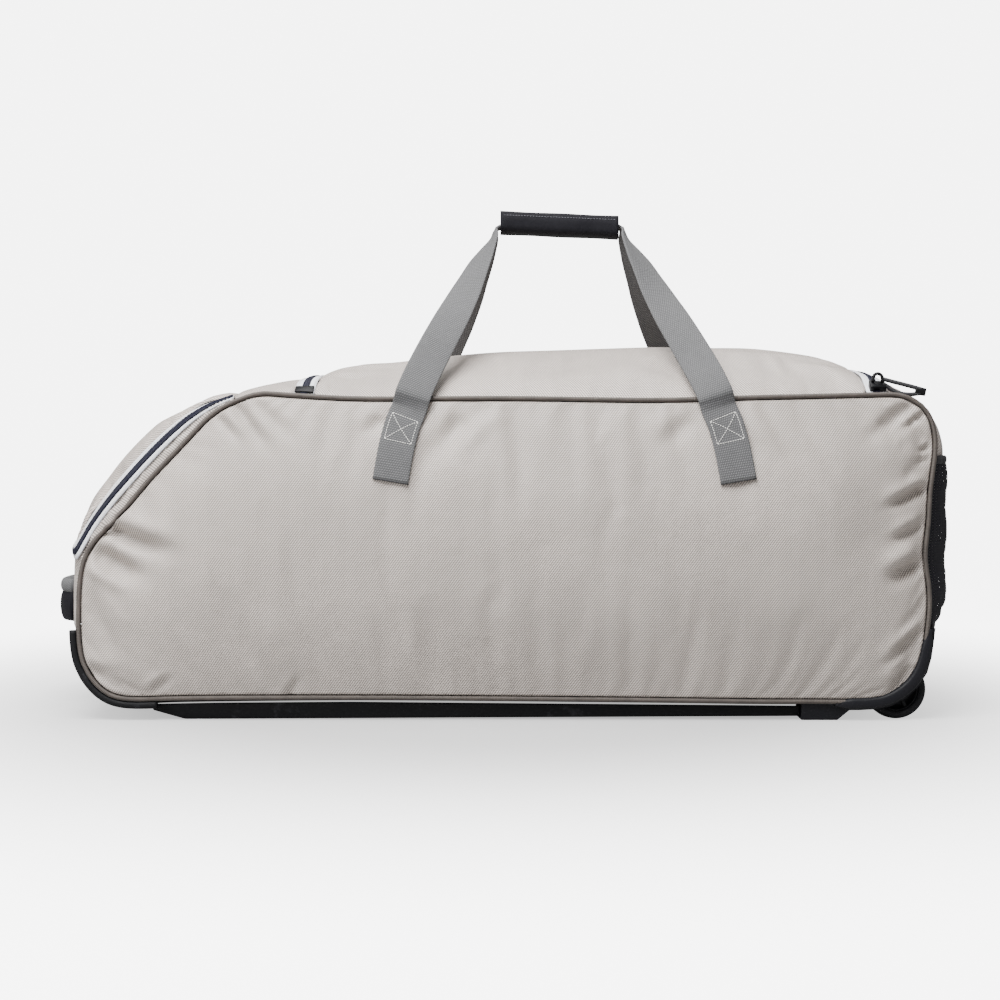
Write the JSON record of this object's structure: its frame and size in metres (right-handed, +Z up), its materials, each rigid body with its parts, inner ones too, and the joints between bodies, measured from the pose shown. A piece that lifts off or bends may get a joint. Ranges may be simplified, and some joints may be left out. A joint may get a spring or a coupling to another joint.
{
  "type": "wheeled cricket kit bag",
  "caption": "Wheeled cricket kit bag: hollow soft duffel with domed zipped lid, sloping bat nose, twin webbing handles with padded grip, black base tray on runners, end wheels",
  "frame": {"origin": "centre of the bounding box at floor level, under the middle of the bag", "axes": "+X along the bag from the bat nose to the wheels, +Y from the front panel to the back panel, +Z up"},
  "size_m": [0.9818, 0.386, 0.558],
  "materials": {
    "bag_cloth": "silver-beige woven polyester with a fine diagonal weave and a soft sheen",
    "piping": "grey-brown bound cord piping",
    "zip_tape": "white woven zip tape with a dark navy coil",
    "mesh": "black open mesh",
    "base_cloth": "black coated base cloth",
    "runner": "black moulded skid, matt",
    "housing": "dark grey moulded plastic, fine grain",
    "webbing": "mid-grey ribbed polypropylene webbing",
    "grip_cloth": "charcoal padded nylon",
    "black_plastic": "black moulded plastic and cord",
    "wheel": "dark grey rubber, satin",
    "axle": "plain steel pin"
  },
  "bodies": {
    "bag": {"side_panel_front": "bag_cloth", "side_panel_back": "bag_cloth", "piping_front": "piping", "piping_back": "piping", "lid": "bag_cloth", "lid_zip": "zip_tape", "top_panel": "bag_cloth", "nose_band": "bag_cloth", "nose_zip": "zip_tape", "nose_flap": "bag_cloth", "end_panel": "bag_cloth", "mesh_pocket": "mesh", "heel_panel": "base_cloth", "base_tray": "base_cloth", "runner_front": "runner", "runner_back": "runner", "wheel_housing_front": "housing", "wheel_housing_back": "housing", "handle_front": "webbing", "handle_back": "webbing", "grip_wrap": "grip_cloth", "end_handle": "webbing", "end_grip": "grip_cloth", "zip_end_tab": "black_plastic", "zip_slider": "black_plastic", "zip_puller": "black_plastic", "axle_front": "axle", "axle_back": "axle"},
    "wheel_front": {"wheel_front": "wheel"},
    "wheel_back": {"wheel_back": "wheel"}
  },
  "joints": [
    {"name": "wheel_front_spin", "type": "hinge", "parent": "bag", "child": "wheel_front", "pos_m": [0.4333, -0.146, 0.032], "axis": [0, 1, 0], "continuous": true},
    {"name": "wheel_back_spin", "type": "hinge", "parent": "bag", "child": "wheel_back", "pos_m": [0.4333, 0.146, 0.032], "axis": [0, 1, 0], "continuous": true}
  ]
}
